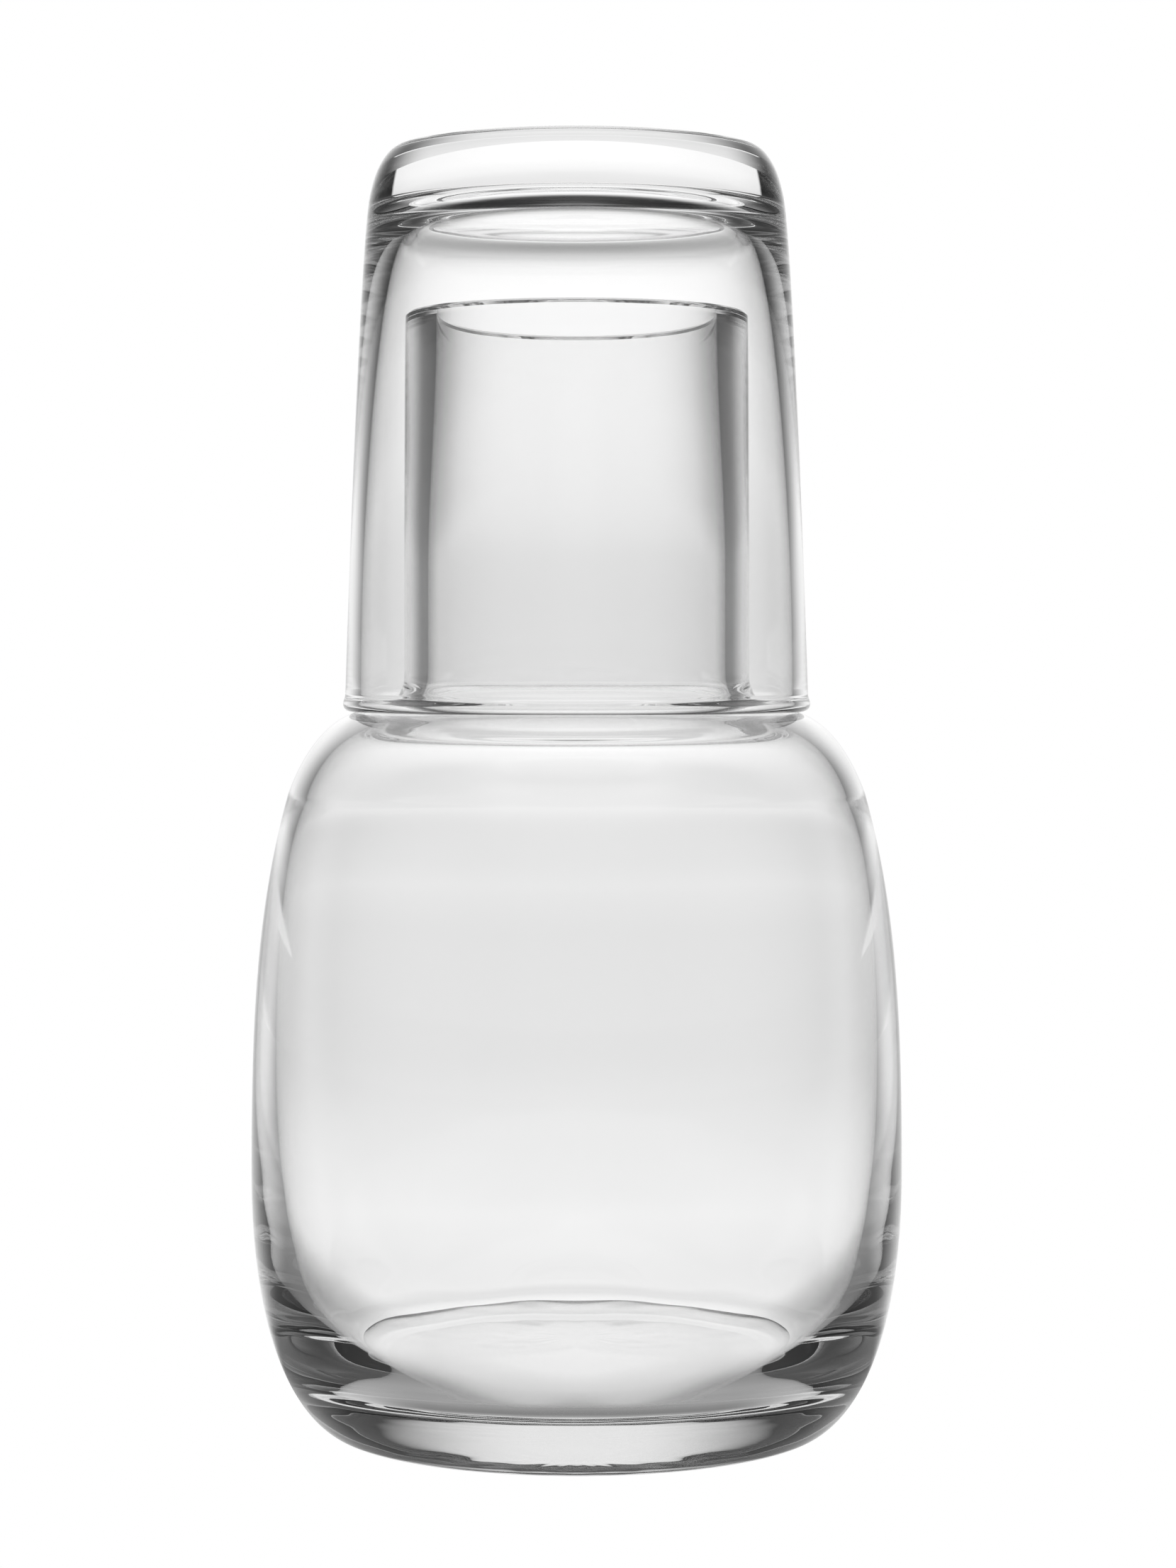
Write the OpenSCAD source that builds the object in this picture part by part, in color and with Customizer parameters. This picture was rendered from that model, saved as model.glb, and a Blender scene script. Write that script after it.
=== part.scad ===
// Bedside carafe with a tumbler that parks upside down over its neck.
// Both pieces are thick clear glass, and each is a surface of revolution about Z.
// Millimetres, +Z up, origin at the centre of the carafe's base.

/* [Carafe body] */
// Radius of the widest part of the body
belly_r = 51; // [47:0.5:57]
// Height of the widest part above the table
belly_z = 40; // [37:0.5:46]
// How far the body draws in from the belly to the edge of its flat base
foot_draw = 12.1; // [9:0.1:16]
// Height over which the body draws in below the belly
lower_draw_h = 34.9; // [28:0.1:36]
// Height over which the side stays upright above the belly
upright_h = 24.8; // [18:0.2:30]
// Height of the body up to the ledge round the foot of the neck
body_h = 112.1; // [106:0.1:120]
// How far the side draws in from the belly to the shoulder
shoulder_draw = 5.7; // [4.5:0.1:7]
// Height of the ledge above the shoulder
shoulder_drop = 13.3; // [11:0.1:16]
// Lean of the side where it meets the shoulder, in degrees from upright
shoulder_lean = 15.4; // [10:0.1:20]
// Length of the leaning stretch below the shoulder
lean_length = 18; // [12:0.5:22]
// Width of the run from the shoulder's curve onto the ledge
ledge_run = 9.4; // [7:0.1:11]

/* [Carafe neck] */
// Outer radius of the straight neck
neck_r = 27.1; // [25:0.1:29]
// Height of the neck above the ledge
neck_h = 62.3; // [55:0.1:70]
// Radius of the hollow fillet between the neck and the ledge
neck_fillet_r = 4.8; // [3.5:0.1:6]
// Wall of the neck at its rim
neck_rim_wall = 4.9; // [4:0.1:6]
// Wall of the neck below its taper
neck_wall = 3.7; // [3:0.1:4.5]
// Height over which the neck's wall thickens up to the rim
neck_taper_h = 40; // [25:1:45]
// Width of the bevel ground on both edges of the rim
rim_bevel = 0.3; // [0.1:0.1:0.6]

/* [Carafe inside] */
// Thickness of the base at its centre
base_t = 9.2; // [7:0.1:10]
// Wall of the body at the widest part of the inside
bowl_wall = 3.7; // [3:0.1:5]
// Height of the widest part of the inside above the belly
bowl_lift = 16.6; // [12:0.2:20]
// Height over which the bowl draws in below its widest part
bowl_draw_h = 32; // [26:0.5:36]
// How far the bowl draws in from its widest part to the middle of its corner
corner_draw = 9.1; // [7:0.1:11]
// Height of the middle of the bowl's corner above its floor
corner_rise = 2.9; // [2.4:0.1:4]
// Slope of the bowl at the middle of its corner, in degrees from level
corner_slope = 52.5; // [46:0.5:58]
// Length of the bowl's curve above that middle
corner_run = 7.2; // [6:0.1:8]
// Length of the bowl's curve below that middle
corner_low_run = 3.3; // [2.8:0.1:3.6]
// Radius of the level floor of the bowl
floor_r = 24.7; // [21:0.1:27]
// How far the corner's curve lies level beyond the floor
floor_reach = 9.9; // [7:0.1:10.5]
// Height of the dome under the shoulder
dome_h = 18.5; // [14:0.1:20]
// Glass above the dome at the ledge
ledge_wall = 1.6; // [1.3:0.1:3]
// How far the dome's curve stays inside the shoulder
shoulder_wall = 2.7; // [1.6:0.1:3]
// How far the dome's inner edge lies outside the bore of the neck
throat_flare = 4.4; // [3.5:0.1:6]
// Height of the throat's curve from the dome up into the neck
throat_h = 8; // [7:0.2:11]

/* [Tumbler] */
// Room between the neck and the inside of the tumbler's mouth
neck_room = 6.85; // [5.5:0.05:8]
// Room between the neck's rim and the rounded bottom of the tumbler's cavity
head_room = 17.55; // [8:0.05:20]
// Wall of the tumbler at its mouth
tumbler_wall = 2.4; // [2:0.1:3]
// Thickness of the tumbler's base at its centre
tumbler_base_t = 8.05; // [6:0.05:14]
// How far the tumbler's side draws in from its mouth to the corner of its base
side_draw = 3.75; // [2.5:0.05:4.5]
// Lean of the side close behind the mouth, in degrees from upright
mouth_lean = 1.8; // [1:0.1:2.4]
// Lean of the side where it meets the corner, in degrees from upright
knee_lean = 9.9; // [6:0.1:12]
// Length of the leaning stretch before the corner
knee_run = 7.3; // [5:0.1:10]
// Height of the rounded corner of the base
corner_h = 7.8; // [6:0.1:9]
// How far the corner draws in from the side to the flat base
corner_in = 4.1; // [3:0.1:6]
// Radius of the bead round the rim
bead_r = 1.2; // [1:0.05:1.4]
// How far the bead stands out from the side
bead_out = 0.35; // [0.1:0.05:0.6]
// Height over which the bead fades into the wall
bead_fade_h = 1.5; // [0.8:0.1:2]
// How far the cavity draws in from its mouth to its rounded end
cavity_draw = 5.1; // [3.8:0.05:5.6]
// Height of the cavity's rounded end
cavity_end_h = 7.5; // [6:0.1:9]
// Lean of the cavity's wall where it meets its rounded end, in degrees from upright
cavity_lean = 14.4; // [10:0.1:18]
// Length of the cavity's leaning stretch before its rounded end
cavity_run = 11.4; // [8:0.1:15]
// How far the rounded end's fullness reaches in from the cavity's wall
cavity_end_w = 9.5; // [3:0.1:12]

/* [Fit of the two pieces] */
// Clearance between the tumbler's rim and the carafe's shoulder
seat_gap = 0.3; // [0.2:0.05:0.6]

/* [Hidden] */
carafe_glass = [0.84, 0.89, 0.9, 0.45];
tumbler_glass = [0.76, 0.85, 0.87, 0.45];
// Sides of each turned surface
$fn = 96;
// Steps along each curve of an outline, and looks along each step for the seat
curve_steps = 14;
seat_looks = 8;
// Share of a bend's length that each of its handles takes
handle_share = 1 / 3;
throat_share = 0.8;
corner_share = 0.78;
foot_share = 0.15;

// Point of a cubic curve with ends a and d and handles b and c, at share t of its way
function curve_point(a, b, c, d, t) =
    pow(1 - t, 3) * a + 3 * pow(1 - t, 2) * t * b + 3 * (1 - t) * pow(t, 2) * c + pow(t, 3) * d;
// The curve's points after its first, so that curves can be joined end to end
function curve(a, b, c, d) = [for (i = [1 : curve_steps]) curve_point(a, b, c, d, i / curve_steps)];
// The points of an arc after its first
function arc(centre, r, from, to) = [
    for (i = [1 : curve_steps])
        let (a = from + (to - from) * i / curve_steps)
            centre + r * [cos(a), sin(a)]
];
// A bend from one upright line to another a little way beside it
function side_step(a, d) =
    let (handle = [0, (d[1] - a[1]) * handle_share])
        curve(a, a + handle, d - handle, d);
// Unit direction that leans from upright towards the axis
function leaning(angle) = [-sin(angle), cos(angle)];

// Carafe, outside: base, belly, shoulder and the ledge round the neck
foot = [belly_r - foot_draw, 0];
belly = [belly_r, belly_z];
shoulder = [belly_r - shoulder_draw, body_h - shoulder_drop];
ledge = [neck_r + neck_fillet_r, body_h];
neck_top_z = body_h + neck_h;
carafe_outside = concat(
    [foot],
    curve(foot, foot, belly - [0, lower_draw_h], belly),
    curve(belly, belly + [0, upright_h], shoulder - lean_length * leaning(shoulder_lean), shoulder),
    curve(shoulder, shoulder, ledge + [ledge_run, 0], ledge),
    arc(ledge + [0, neck_fillet_r], neck_fillet_r, 270, 180)
);
neck_rim = [
    [neck_r, neck_top_z - rim_bevel],
    [neck_r - rim_bevel, neck_top_z],
    [neck_r - neck_rim_wall + rim_bevel, neck_top_z]
];

// Carafe, inside: the neck's bore, the throat, the dome and the bowl
bore_r = neck_r - neck_wall;
bore_top = [neck_r - neck_rim_wall, neck_top_z - rim_bevel];
dome_z = body_h - ledge_wall;
throat = [bore_r + throat_flare, dome_z];
throat_top = [bore_r, dome_z + throat_h];
bowl = [belly_r - bowl_wall, belly_z + bowl_lift];
corner = [bowl[0] - corner_draw, base_t + corner_rise];
corner_way = [cos(corner_slope), sin(corner_slope)];
floor_edge = [floor_r, base_t];
carafe_inside = concat(
    [bore_top],
    side_step(bore_top, [bore_r, neck_top_z - neck_taper_h]),
    [throat_top],
    curve(throat_top, throat_top - [0, throat_h / 2], throat - [throat_flare * throat_share, 0], throat),
    curve(throat, [shoulder[0] - shoulder_wall, dome_z], [bowl[0], dome_z - dome_h], bowl),
    curve(bowl, bowl - [0, bowl_draw_h], corner + corner_run * corner_way, corner),
    curve(corner, corner - corner_low_run * corner_way, floor_edge + [floor_reach, 0], floor_edge),
    [[0, base_t]]
);

// Tumbler, rim: a round bead whose centre stands clear of every point of the shoulder under it
mouth_r = neck_r + neck_room + tumbler_wall;
bead_centre_r = mouth_r + bead_out - bead_r;
reach = bead_r + seat_gap;
seat_zs = [
    for (i = [1 : len(carafe_outside) - 1], j = [0 : seat_looks])
        let (
            p = carafe_outside[i - 1] + (carafe_outside[i] - carafe_outside[i - 1]) * j / seat_looks,
            off = abs(p[0] - bead_centre_r)
        )
            if (off < reach) p[1] + sqrt(pow(reach, 2) - pow(off, 2))
];
bead_centre = [bead_centre_r, max(seat_zs)];

// Tumbler, outside: the drawn side and the rounded corner of its base, which is on top
tumbler_top_z = neck_top_z + head_room + tumbler_base_t;
mouth = [mouth_r, bead_centre[1] + bead_fade_h];
knee = [mouth_r - side_draw, tumbler_top_z - corner_h];
side_length = knee[1] - mouth[1];
tumbler_foot = [knee[0] - corner_in, tumbler_top_z];
tumbler_outside = concat(
    arc(bead_centre, bead_r, -180, 0),
    side_step(bead_centre + [bead_r, 0], mouth),
    curve(mouth, mouth + side_length * handle_share * leaning(mouth_lean), knee - knee_run * leaning(knee_lean), knee),
    curve(knee, knee + corner_h * corner_share * leaning(knee_lean),
        tumbler_foot + [corner_in * foot_share, 0], tumbler_foot)
);

// Tumbler, inside: the cavity from its rounded end down to its mouth
cavity_z = neck_top_z + head_room;
cavity_mouth = [mouth_r - tumbler_wall, mouth[1]];
cavity_knee = [cavity_mouth[0] - cavity_draw, cavity_z - cavity_end_h];
cavity_pole = [0, cavity_z];
tumbler_inside = concat(
    curve(cavity_pole, [cavity_knee[0] - cavity_end_w, cavity_z],
        [cavity_knee[0] - cavity_end_h * tan(cavity_lean), cavity_z], cavity_knee),
    curve(cavity_knee, cavity_knee - cavity_run * leaning(cavity_lean),
        cavity_mouth + [0, side_length * handle_share], cavity_mouth),
    side_step(cavity_mouth, bead_centre - [bead_r, 0])
);

// The carafe: a heavy rounded body with a flat base and a straight open neck
module carafe() {
    color(carafe_glass)
        rotate_extrude()
            polygon(concat([[0, 0]], carafe_outside, neck_rim, carafe_inside));
}

// The tumbler, upside down over the neck with its heavy base uppermost
module tumbler() {
    color(tumbler_glass)
        rotate_extrude()
            polygon(concat(tumbler_outside, [[0, tumbler_top_z], cavity_pole], tumbler_inside));
}

carafe();
tumbler();
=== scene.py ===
# %% [markdown]
# The paper below glows with painted light and shade, the shadow of the base among them.
# # Bedside carafe with its tumbler
# The object is two pieces of thick clear glass. A carafe stands on the table, and a
# tumbler is parked upside down over its neck. This lesson turns both pieces from their
# outlines, gives them glass, and lights them the way glassware is photographed: bright
# paper behind and below, darkness to the sides, and a soft lamp on the camera's side.
#
# The imported CAD part is loaded first. Its box is the size that the glass has to keep.

# %% Load the frame
import math

import bpy
import numpy as np
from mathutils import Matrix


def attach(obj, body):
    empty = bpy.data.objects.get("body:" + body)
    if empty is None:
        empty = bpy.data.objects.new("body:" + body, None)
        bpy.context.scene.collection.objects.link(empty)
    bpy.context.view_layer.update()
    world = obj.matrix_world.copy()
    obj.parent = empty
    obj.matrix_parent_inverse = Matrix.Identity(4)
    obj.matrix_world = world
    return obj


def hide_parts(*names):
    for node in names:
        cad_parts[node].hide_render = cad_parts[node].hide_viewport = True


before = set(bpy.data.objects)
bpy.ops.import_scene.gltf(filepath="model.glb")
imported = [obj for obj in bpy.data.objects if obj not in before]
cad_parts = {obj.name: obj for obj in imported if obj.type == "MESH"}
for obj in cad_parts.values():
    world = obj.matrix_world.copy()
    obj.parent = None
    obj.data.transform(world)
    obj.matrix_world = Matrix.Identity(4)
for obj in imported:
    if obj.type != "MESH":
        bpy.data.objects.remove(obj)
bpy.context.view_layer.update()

# %% [markdown]
# ## Outlines
# Every surface here is turned on one axis, so a piece is its outline: radius and height
# of each point, in millimetres. The outlines are made of a few smooth bends, each a cubic
# curve between two points with a handle at each end.


# %% Curves for the outlines
def bend(a, b, c, d, steps=40):
    """Points of the cubic curve from a to d with handles b and c, without the first:
    a (1 - t)^3 + 3 b (1 - t)^2 t + 3 c (1 - t) t^2 + d t^3, for t from 0 to 1."""
    t = np.linspace(0, 1, steps + 1)[1:, None]
    a, b, c, d = (np.asarray(p, float) for p in (a, b, c, d))
    return (1 - t) ** 3 * a + 3 * (1 - t) ** 2 * t * b + 3 * (1 - t) * t**2 * c + t**3 * d


def side_step(a, d, steps=24):
    """A bend from one upright line to another beside it: both handles point along Z."""
    handle = np.array([0, (d[1] - a[1]) / 3])
    return bend(a, np.add(a, handle), np.subtract(d, handle), d, steps)


def arc(centre, r, start, end, steps=14):
    """Points of a circle's arc between two angles in degrees: centre + r (cos, sin)."""
    a = np.radians(np.linspace(start, end, steps + 1)[1:])[:, None]
    return np.asarray(centre) + r * np.hstack([np.cos(a), np.sin(a)])


def line(a, d, steps):
    """Evenly spaced points of a straight line, without the first."""
    t = np.linspace(0, 1, steps + 1)[1:, None]
    return np.asarray(a) * (1 - t) + np.asarray(d) * t


def leaning(angle):
    """Unit direction that leans from upright towards the axis by an angle in degrees."""
    return np.array([-math.sin(math.radians(angle)), math.cos(math.radians(angle))])


# %% [markdown]
# The carafe's outside starts at the edge of its flat base, swells to the belly, draws in
# to the shoulder and runs level onto the ledge round the neck, which has a small fillet.

# %% Carafe, outside
FOOT, BELLY, SHOULDER = (38.9, 0), (51, 40), (45.3, 98.8)
NECK_R, LEDGE_Z, NECK_TOP = 27.1, 112.1, 174.4
FILLET, BEVEL, RIM_WALL = 4.8, 0.3, 4.9
ledge = (NECK_R + FILLET, LEDGE_Z)
carafe_outside = np.vstack([
    line((0, 0), FOOT, 26),
    bend(FOOT, FOOT, (51, 5.1), BELLY, 48),
    bend(BELLY, (51, 64.8), SHOULDER - 18 * leaning(15.4), SHOULDER, 40),
    bend(SHOULDER, SHOULDER, (ledge[0] + 9.4, LEDGE_Z), ledge, 36),
    arc((ledge[0], LEDGE_Z + FILLET), FILLET, 270, 180, 12),
    line((NECK_R, LEDGE_Z + FILLET), (NECK_R, NECK_TOP - BEVEL), 24),
])
neck_rim = np.array([
    (NECK_R - BEVEL, NECK_TOP),
    (NECK_R - RIM_WALL + BEVEL, NECK_TOP),
    (NECK_R - RIM_WALL, NECK_TOP - BEVEL),
])
print("outside of the carafe:", len(carafe_outside), "points")

# %% [markdown]
# Its inside comes down the bore, flares under the ledge into the dome, widens to the bowl
# and turns over a soft corner onto the thick base. The wall is thickest at the rim.

# %% Carafe, inside
BORE, BASE_T, FLOOR_R = 23.4, 9.2, 24.7
bore_top, throat, throat_top = (BORE, 134.4), (27.8, 110.5), (BORE, 118.5)
bowl = (47.3, 56.6)
corner = np.array([38.2, 12.1])
CORNER_SLOPE, CORNER_RUN, CORNER_LOW_RUN, FLOOR_REACH = math.radians(52.5), 7.2, 3.3, 9.9
corner_way = np.array([math.cos(CORNER_SLOPE), math.sin(CORNER_SLOPE)])
carafe_inside = np.vstack([
    side_step(neck_rim[-1], bore_top, 20),
    line(bore_top, throat_top, 5),
    bend(throat_top, (BORE, 114.5), (throat[0] - 3.52, throat[1]), throat, 14),
    bend(throat, (42.6, throat[1]), (bowl[0], 92), bowl, 40),
    bend(bowl, (bowl[0], 24.6), corner + CORNER_RUN * corner_way, corner, 40),
    bend(corner, corner - CORNER_LOW_RUN * corner_way,
         (FLOOR_R + FLOOR_REACH, BASE_T), (FLOOR_R, BASE_T), 30),
    line((FLOOR_R, BASE_T), (0, BASE_T), 14),
])
print("inside of the carafe:", len(carafe_inside), "points")

# %% [markdown]
# The tumbler is drawn as it is parked: its beaded rim at the bottom, its heavy base on
# top. The bead's lowest point stands just clear of the shoulder.

# %% Tumbler
BEAD_R, BEAD_C = 1.2, np.array([35.5, 113.0])
MOUTH_R, WALL, TOP = 36.35, 2.4, 200.0
MOUTH_LEAN, KNEE_DROP, KNEE_IN, KNEE_LEAN, KNEE_RUN = 1.8, 7.8, 3.75, 9.9, 7.3
FOOT_IN, FOOT_REACH = 4.1, 0.615
CAVITY_Z, CAVITY_DROP, CAVITY_DRAW = 191.95, 7.5, 5.1
CAVITY_LEAN, CAVITY_RUN, CAVITY_REACH = 14.4, 11.4, 9.5
tumbler_low = min(v.co.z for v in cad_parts["tumbler"].data.vertices) * 1000
BEAD_C[1] = tumbler_low + BEAD_R
mouth = np.array([MOUTH_R, BEAD_C[1] + 1.5])
knee = np.array([MOUTH_R - KNEE_IN, TOP - KNEE_DROP])
side = knee[1] - mouth[1]
tumbler_foot = np.array([knee[0] - FOOT_IN, TOP])
tumbler_outside = np.vstack([
    arc(BEAD_C, BEAD_R, -180, 0, 20),
    side_step(BEAD_C + (BEAD_R, 0), mouth, 6),
    bend(mouth, mouth + side / 3 * leaning(MOUTH_LEAN),
         knee - KNEE_RUN * leaning(KNEE_LEAN), knee, 100),
    bend(knee, knee + KNEE_DROP * 0.78 * leaning(KNEE_LEAN),
         tumbler_foot + (FOOT_REACH, 0), tumbler_foot, 24),
    line(tumbler_foot, (0, TOP), 20),
])
cavity_mouth = mouth - (WALL, 0)
cavity_knee = np.array([cavity_mouth[0] - CAVITY_DRAW, CAVITY_Z - CAVITY_DROP])
tumbler_inside = np.vstack([
    bend((0, CAVITY_Z), (cavity_knee[0] - CAVITY_REACH, CAVITY_Z),
         (cavity_knee[0] - CAVITY_DROP * math.tan(math.radians(CAVITY_LEAN)), CAVITY_Z),
         cavity_knee, 60),
    bend(cavity_knee, cavity_knee - CAVITY_RUN * leaning(CAVITY_LEAN),
         cavity_mouth + (0, side / 3), cavity_mouth, 90),
    side_step(cavity_mouth, BEAD_C - (BEAD_R, 0), 6),
])
print("tumbler's rim is at", round(tumbler_low, 2), "mm")


# %% [markdown]
# ## Turning an outline
# A piece is one closed grid: outline points by turns round the axis. A point on the axis
# is a single vertex, so both poles are closed. Rings where the outline has a real edge,
# as on the ground rim, are marked sharp, and the rest is smooth.


# %% The turned surface
SIDES = 256
TURNS = np.arange(SIDES) * 2 * np.pi / SIDES


def turn(name, outline, relief, sharp_from=20):
    """Surface of revolution: x = r cos a, y = r sin a, z = z for every outline point and
    every angle a. The outline runs so that the glass lies on its left. Row i of the relief
    moves the points of ring i by so many mm towards the air, along the outline's normal.
    A ring is an edge where the outline turns by more than sharp_from degrees."""
    pts = np.asarray(outline, float)
    along = np.gradient(pts, axis=0)
    normals = np.stack([along[:, 1], -along[:, 0]], axis=1)
    normals /= np.hypot(*along.T)[:, None]
    ring_of, verts = [], []
    for (r, z), (n_r, n_z), h in zip(pts, normals, relief):
        ring_of.append((len(verts), 1 if r < 1e-6 else SIDES))
        if r < 1e-6:
            verts.append((0, 0, z / 1000))
            continue
        radii = r + h * n_r
        verts.extend(zip(radii * np.cos(TURNS) / 1000, radii * np.sin(TURNS) / 1000,
                         (z + h * n_z) / 1000))
    faces, k = [], np.arange(SIDES)
    j = (k + 1) % SIDES
    for (lo, n_lo), (hi, n_hi) in zip(ring_of, ring_of[1:]):
        if n_lo == 1 and n_hi == 1:
            continue
        if n_lo == 1:
            faces.extend((lo, hi + q, hi + p) for p, q in zip(k, j))
        elif n_hi == 1:
            faces.extend((lo + p, lo + q, hi) for p, q in zip(k, j))
        else:
            faces.extend((lo + p, lo + q, hi + q, hi + p) for p, q in zip(k, j))
    mesh = bpy.data.meshes.new(name)
    mesh.from_pydata(verts, [], [tuple(int(v) for v in f) for f in faces])
    mesh.update()
    mesh.shade_smooth()
    steps = np.diff(np.vstack([pts, pts[:1]]), axis=0)
    heading = np.unwrap(np.arctan2(steps[:, 1], steps[:, 0]))
    sharp_rings = {i + 1 for i in range(len(pts) - 2)
                   if abs(heading[i + 1] - heading[i]) > math.radians(sharp_from)}
    start = np.array([s for s, _ in ring_of])
    ends = np.empty(len(mesh.edges) * 2, int)
    mesh.edges.foreach_get("vertices", ends)
    rings = np.searchsorted(start, ends.reshape(-1, 2), side="right") - 1
    sharp = (rings[:, 0] == rings[:, 1]) & np.isin(rings[:, 0], list(sharp_rings))
    mark = mesh.attributes.new("sharp_edge", "BOOLEAN", "EDGE")
    mark.data.foreach_set("value", sharp)
    obj = bpy.data.objects.new(name, mesh)
    bpy.context.scene.collection.objects.link(obj)
    print(name, len(verts), "vertices,", len(sharp_rings), "sharp rings")
    return obj


# %% [markdown]
# ## Cords
# Blown glass is never quite even. Where it is thick, its inner surface has cords: waves a
# few hundredths of a millimetre high, which draw the swirls in the bases.


# %% Waves of the inner surfaces
def eased(t):
    """A smooth rise from 0 to 1: t squared times (3 - 2 t), with t held between 0 and 1."""
    t = np.clip(t, 0, 1)
    return t**2 * (3 - 2 * t)


def cords(outline, z_from, z_to, height, terms, full_from_r=12):
    """Height of the cords at every point of an outline and every angle a: the mean over
    the terms (k, l, p) of cos(k (a - 90 deg)) cos(2 pi s / l + p), with s mm along the
    outline. They fade in from z_from to z_to, and fade out inside the radius full_from_r."""
    outline = np.asarray(outline, float)
    s = np.append(0, np.cumsum(np.hypot(*np.diff(outline, axis=0).T)))[:, None]
    waves = sum(np.cos(k * (TURNS - np.pi / 2)) * np.cos(2 * np.pi * s / l + p)
                for k, l, p in terms)
    fade = eased((outline[:, 1:] - z_from) / (z_to - z_from))
    return height * waves / len(terms) * fade * eased(outline[:, :1] / full_from_r)


carafe_cords = cords(carafe_inside, 46, 22, 0.06, [
    (0, 13, 0.4), (3, 17, 1.9), (5, 11, 4.0), (8, 15, 2.2), (13, 9, 0.8), (19, 12, 5.1)])
tumbler_cords = cords(tumbler_inside, 178, 188, 0.02, [
    (0, 9, 2.4), (3, 13, 1.0), (5, 10, 3.0), (9, 14, 0.2)])
print("highest cord:", round(float(abs(carafe_cords).max()), 3), "mm")

# %% [markdown]
# ## The two pieces
# Each piece rides its CAD body, and the CAD solid that it stands in for is hidden.

# %% Turn and place the glass
smooth = np.zeros((len(carafe_outside) + len(neck_rim) + 1, SIDES))
carafe_glass = turn(
    "carafe_body_glass",
    np.vstack([[(0, 0)], carafe_outside, neck_rim, carafe_inside]),
    np.vstack([smooth, carafe_cords]),
)
smooth = np.zeros((len(tumbler_outside), SIDES))
tumbler_glass = turn(
    "tumbler_glass_shell",
    np.vstack([[(0, CAVITY_Z)], tumbler_inside, tumbler_outside]),
    np.vstack([smooth[:1], tumbler_cords, smooth]),
)
for piece, node in ((carafe_glass, "carafe"), (tumbler_glass, "tumbler")):
    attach(piece, node + "_body")
    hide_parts(node)

# %% [markdown]
# ## Glass
# Clear soda-lime glass: it bends light as a real index of 1.52 does, has no colour, and
# is perfectly smooth. It swallows a little of the light that goes through it, which the
# thin walls hide and the thick base shows.


# %% Glass material
GLASS_INDEX = 1.52
DIMMING = {"carafe": 3.5, "tumbler": 1.0}


def clear_glass(name, dimming):
    """Clear glass with an index of 1.52. After d metres of it, exp(-dimming d) of the
    light is left."""
    mat = bpy.data.materials.new(name)
    mat.use_nodes = True
    shader = mat.node_tree.nodes["Principled BSDF"]
    shader.inputs["Base Color"].default_value = (1, 1, 1, 1)
    shader.inputs["Roughness"].default_value = 0
    shader.inputs["IOR"].default_value = GLASS_INDEX
    shader.inputs["Transmission Weight"].default_value = 1
    tree = mat.node_tree
    volume = tree.nodes.new("ShaderNodeVolumeAbsorption")
    volume.inputs["Color"].default_value = (0, 0, 0, 1)
    volume.inputs["Density"].default_value = dimming
    tree.links.new(volume.outputs[0], tree.nodes["Material Output"].inputs["Volume"])
    return mat


carafe_glass.data.materials.append(clear_glass("clear_glass_of_carafe", DIMMING["carafe"]))
tumbler_glass.data.materials.append(clear_glass("clear_glass_of_tumbler", DIMMING["tumbler"]))
print("light left after 10 mm of glass:",
      {node: round(math.exp(-d * 0.01), 3) for node, d in DIMMING.items()})

# %% [markdown]
# ## Paper, light and camera
# Glass shows only what stands round it, so the studio is laid out by direction. Behind
# the set, backdrop and table are bright. Beyond 40 to 60 degrees to either side they are
# dark, which draws the dark lines along the edges; on the table this dark is painted shade.
# A wide soft lamp hangs high on the camera's side. Its light on the table is painted: the
# table glows with a painted pool of light in front of the set, round a painted shadow of
# the thick base.
#
# Three columns of brightness are enough: straight behind, beside and ahead (the camera's
# side). Between two columns the light changes over a range of angles off straight behind.
#
# The camera itself sees plain white paper, as in the photo.


# %% Node helpers
def add(tree, kind, *values, **settings):
    """A new shader node with its inputs set or linked in order. Gives its first output."""
    node = tree.nodes.new(kind)
    for key, value in settings.items():
        setattr(node, key, value)
    for socket, value in zip(node.inputs, values):
        if isinstance(value, bpy.types.NodeSocket):
            tree.links.new(value, socket)
        elif value is not None:
            socket.default_value = value
    return node.outputs[0] if node.outputs else None


def math_of(tree, operation, a, b=0.0):
    """One arithmetic step on two numbers."""
    return add(tree, "ShaderNodeMath", a, b, operation=operation)


def step(tree, value, start, end, low=0.0, high=1.0):
    """Low below the start, high above the end, and a smooth S-shaped step between them."""
    return add(tree, "ShaderNodeMapRange", value, start, end, low, high,
               interpolation_type="SMOOTHSTEP")


def parts(tree, vector, kind="ShaderNodeSeparateXYZ"):
    """The three numbers of a vector or a colour."""
    node = tree.nodes.new(kind)
    tree.links.new(vector, node.inputs[0])
    return node.outputs


def mix(tree, share, a, b):
    """a where share is 0 and b where it is 1."""
    rest = math_of(tree, "SUBTRACT", 1.0, share)
    return math_of(tree, "ADD", math_of(tree, "MULTIPLY", a, rest),
                   math_of(tree, "MULTIPLY", b, share))


TOP_LIGHT = 2.0


def columns(tree, place, table):
    """Brightness straight behind, beside and ahead, read from the rows of a table. Place
    runs from 0 at the table's first row to 1 at its last, and a ramp holds all three
    columns at once as its red, green and blue, each as a share of the top light."""
    first, last = table[0][0], table[-1][0]
    node = tree.nodes.new("ShaderNodeValToRGB")
    node.color_ramp.interpolation = "LINEAR"
    elements = node.color_ramp.elements
    while len(elements) < len(table):
        elements.new(0.5)
    for element, (at, *light) in zip(elements, table):
        element.position = (at - first) / (last - first)
    for element, (at, *light) in zip(elements, table):
        element.color = [v / TOP_LIGHT for v in light] + [1]
    tree.links.new(place, node.inputs[0])
    return [math_of(tree, "MULTIPLY", c, TOP_LIGHT)
            for c in parts(tree, node.outputs[0], "ShaderNodeSeparateColor")]


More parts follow.
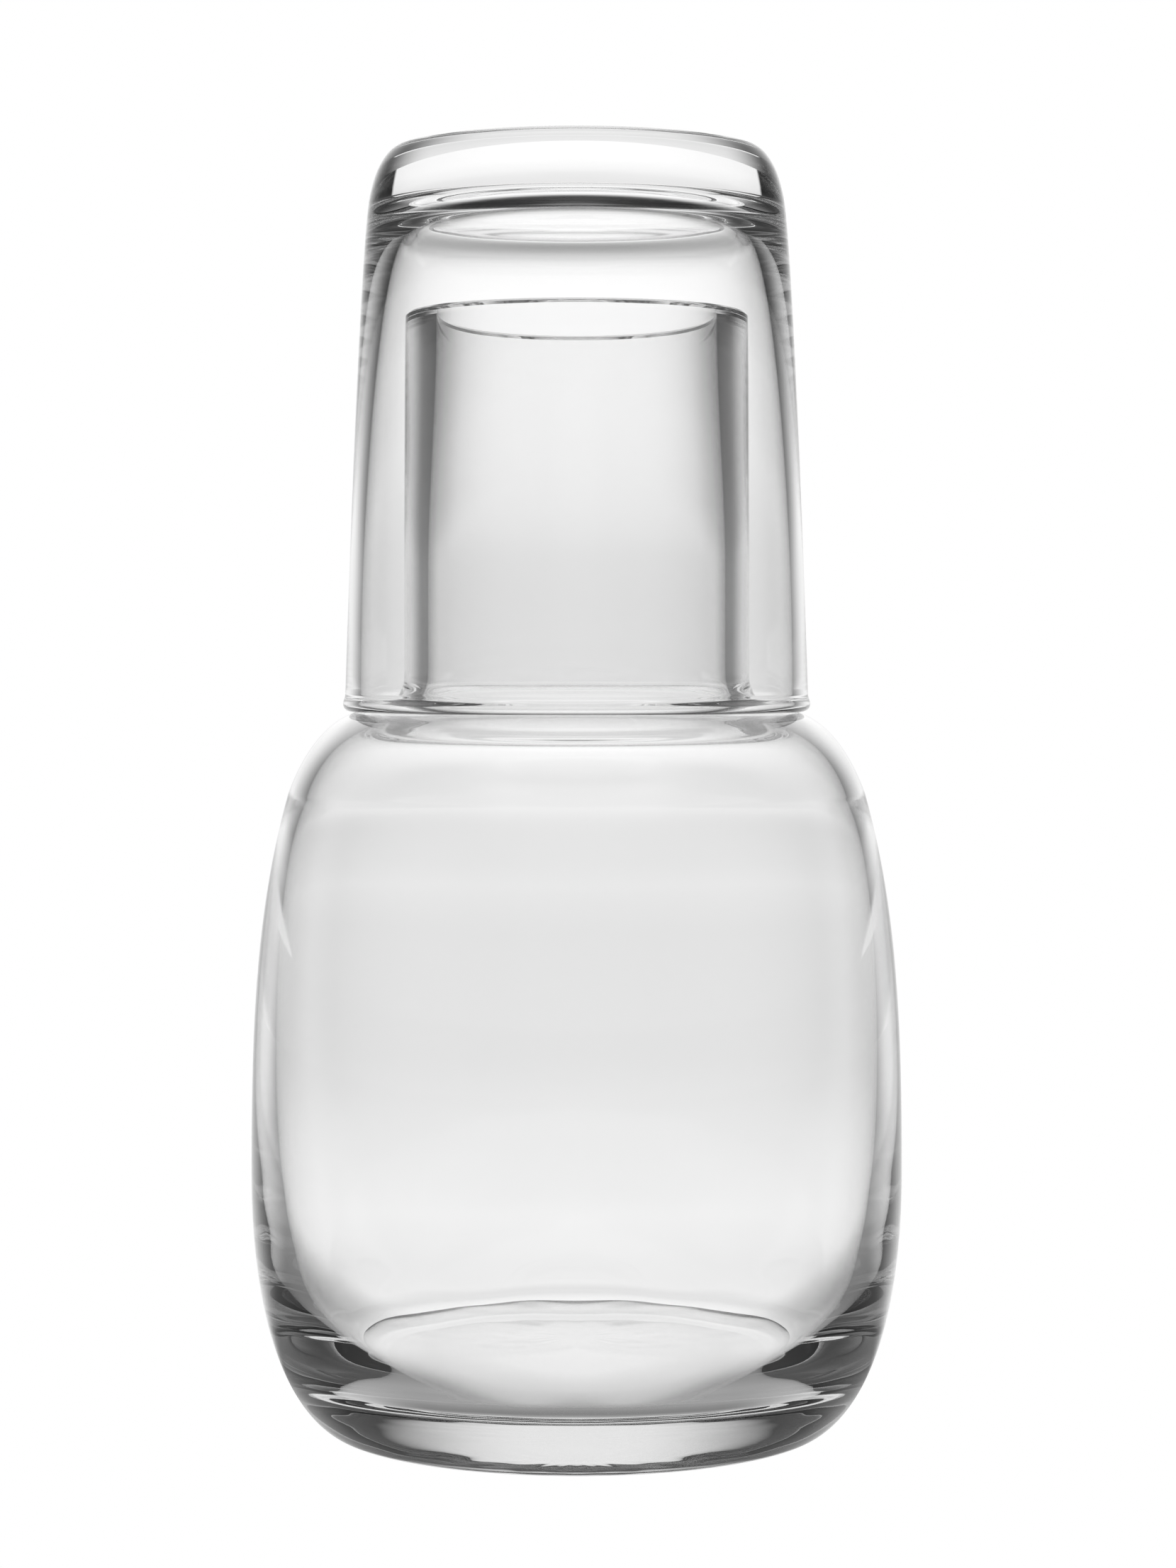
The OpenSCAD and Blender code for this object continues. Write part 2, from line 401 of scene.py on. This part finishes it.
def off_axis(tree, x, y):
    """Degrees between straight behind (+Y) and the direction (x, y), from 0 to 180."""
    return math_of(tree, "DEGREES", math_of(tree, "ARCTAN2", math_of(tree, "ABSOLUTE", x), y))


def studio_and_painted_light(tree, side, place, table, edge, turn_ahead):
    """The three columns joined by the angle from straight behind, white for the camera.
    In the room they are the studio's light; on the paper they are painted light and shade.
    """
    behind, beside, ahead = columns(tree, place, table)
    light = mix(tree, step(tree, side, *turn_ahead), beside, ahead)
    light = mix(tree, step(tree, side, *edge), behind, light)
    path = tree.nodes.new("ShaderNodeLightPath")
    return mix(tree, path.outputs["Is Camera Ray"], light, 1.0)


# %% [markdown]
# The table is a round sheet of paper. It isn't lit: it glows, and its glow is painted
# light and shade, plain white to the camera. On the camera's side it has a painted shadow
# of the thick base in a ring round the foot and a painted pool of the lamp's light beyond
# it, and to the sides painted shade. Its rows go by distance from the axis, in steps of
# a doubling: the first number is the logarithm to base 2 of the distance in centimetres.
# Near the set the paper is painted bright up to 42 degrees off straight behind and painted
# dark from 68 degrees on. Far out the same edge lies at 32 to 60 degrees. The sheet lies
# 0.4 mm below the base, so that glass and paper don't share a plane.

# %% Table
# Rows of painted light and shade on the paper: the ahead column's dip from 1.62 to 2.4 is a
# painted shadow of the base round its foot, its rise from 2.6 to 3.3 a painted pool of the lamp's
# light, and the beside column's fall to 0.02 painted shade to the sides.
PAINTED_TABLE_LIGHT = [
    (0.6, 0.84, 0.80, 0.88),
    (1.3, 0.82, 0.80, 0.72),
    (1.5, 0.90, 0.90, 0.55),
    (1.62, 1.00, 0.95, 0.36),
    (1.75, 1.14, 1.00, 0.25),
    (1.9, 1.18, 0.90, 0.28),
    (2.05, 1.00, 0.70, 0.40),
    (2.2, 0.84, 0.60, 0.17),
    (2.4, 0.90, 0.45, 0.18),
    (2.6, 1.00, 0.30, 0.42),
    (2.8, 0.98, 0.22, 0.95),
    (3.0, 0.98, 0.22, 1.05),
    (3.3, 1.02, 0.28, 0.80),
    (3.7, 1.06, 0.35, 0.28),
    (4.3, 1.01, 0.30, 0.03),
    (5.3, 0.90, 0.06, 0.03),
    (6.1, 0.89, 0.02, 0.15),
    (6.45, 0.94, 0.02, 0.20),
]
TABLE_R, TABLE_Z = 0.9, -0.0004
floor_mesh = bpy.data.meshes.new("paper_floor")
floor_mesh.from_pydata(
    [(TABLE_R * c, TABLE_R * s, TABLE_Z) for c, s in zip(np.cos(TURNS), np.sin(TURNS))],
    [], [tuple(range(SIDES))])
floor = bpy.data.objects.new("paper_floor", floor_mesh)
bpy.context.scene.collection.objects.link(floor)
paper = bpy.data.materials.new("paper_painted_light_and_shade")
paper.use_nodes = True
t = paper.node_tree
t.nodes.clear()
coords = t.nodes.new("ShaderNodeTexCoord")
x, y, _ = parts(t, coords.outputs["Object"])
away = math_of(t, "SQRT", math_of(t, "ADD", math_of(t, "MULTIPLY", x, x),
                                  math_of(t, "MULTIPLY", y, y)))
doublings = math_of(t, "LOGARITHM", math_of(t, "MULTIPLY", away, 100.0), 2.0)
first, last = PAINTED_TABLE_LIGHT[0][0], PAINTED_TABLE_LIGHT[-1][0]
place = add(t, "ShaderNodeMapRange", doublings, first, last, 0.0, 1.0)
NEAR, FAR = 3.6, 4.8
edge = (step(t, doublings, NEAR, FAR, 42.0, 32.0), step(t, doublings, NEAR, FAR, 68.0, 60.0))
light = studio_and_painted_light(t, off_axis(t, x, y), place, PAINTED_TABLE_LIGHT, edge, (95.0, 140.0))
# The paper's emission paints its light and shade; camera rays get plain white.
add(t, "ShaderNodeOutputMaterial", add(t, "ShaderNodeEmission", (1, 1, 1, 1), light))
floor_mesh.materials.append(paper)
paper.cycles.emission_sampling = "NONE"
print("table:", len(PAINTED_TABLE_LIGHT), "rows, out to", TABLE_R, "m")

# %% [markdown]
# In the room the rows go by height: the first number is the angle above the horizon in
# degrees. Below the horizon, past the table's edge, the bright part reaches to about 50
# degrees off straight behind. At the horizon the light falls slowly from 18 to 44 degrees,
# and higher up from 5 degrees on, which shades the rim of the shoulder.

# %% Room
ROOM_LIGHT = [
    (-20, 1.14, 0.02, 0.30),
    (-9, 1.14, 0.02, 0.40),
    (-6.5, 1.05, 0.02, 0.40),
    (-5.3, 0.95, 0.04, 0.42),
    (-4, 0.91, 0.10, 0.42),
    (-2, 0.89, 0.16, 0.42),
    (0, 0.88, 0.18, 0.42),
    (2, 0.91, 0.17, 0.44),
    (5, 1.03, 0.13, 0.40),
    (9, 1.16, 0.08, 0.30),
    (15, 1.14, 0.06, 0.15),
    (22, 1.06, 0.06, 0.28),
    (30, 0.92, 0.06, 0.46),
    (38, 0.62, 0.05, 0.60),
    (45, 0.22, 0.02, 0.70),
    (52, 0.05, 0.02, 0.70),
    (60, 0.03, 0.02, 0.60),
    (75, 0.04, 0.03, 0.35),
    (90, 0.08, 0.08, 0.08),
]
world = bpy.data.worlds.new("studio")
bpy.context.scene.world = world
world.use_nodes = True
t = world.node_tree
t.nodes.clear()
coords = t.nodes.new("ShaderNodeTexCoord")
x, y, z = parts(t, coords.outputs["Generated"])
height = math_of(t, "DEGREES", math_of(t, "ARCSINE", z))
place = add(t, "ShaderNodeMapRange", height, ROOM_LIGHT[0][0], ROOM_LIGHT[-1][0], 0.0, 1.0)
LOW, LEVEL = -5.0, -3.0
bright_to = math_of(t, "SUBTRACT", step(t, height, LOW, LEVEL, 50.0, 18.0),
                    step(t, height, 1.0, 7.0, 0.0, 13.0))
edge = (bright_to, step(t, height, LOW, LEVEL, 52.0, 44.0))
light = studio_and_painted_light(t, off_axis(t, x, y), place, ROOM_LIGHT, edge, (80.0, 150.0))
add(t, "ShaderNodeOutputWorld", add(t, "ShaderNodeBackground", (1, 1, 1, 1), light))
bpy.context.scene.view_settings.view_transform = "Standard"
bpy.context.scene.cycles.max_bounces = 48
bpy.context.scene.cycles.transmission_bounces = 32
bpy.context.scene.cycles.glossy_bounces = 32
print("room:", len(ROOM_LIGHT), "rows, from", ROOM_LIGHT[0][0], "to", ROOM_LIGHT[-1][0], "degrees")

# %% [markdown]
# The camera stands 0.59 m in front of the axis, a little above the height of the
# tumbler's rim, and looks straight ahead. Its small shift puts the set where it stands in
# the photo. Lens and shift are worked out in dots of the picture's height.

# %% Camera
PICTURE_H = 2212
cam = bpy.data.objects.new("camera", bpy.data.cameras.new("camera"))
bpy.context.scene.collection.objects.link(cam)
cam.location = (0, -0.5913, 0.1225)
cam.rotation_euler = (math.pi / 2, 0, 0)
cam.data.sensor_width = 36
cam.data.lens = 5300 / PICTURE_H * cam.data.sensor_width
cam.data.shift_x = 16 / PICTURE_H
cam.data.shift_y = -199 / PICTURE_H
bpy.context.scene.camera = cam
print("lens, mm:", round(cam.data.lens, 2))
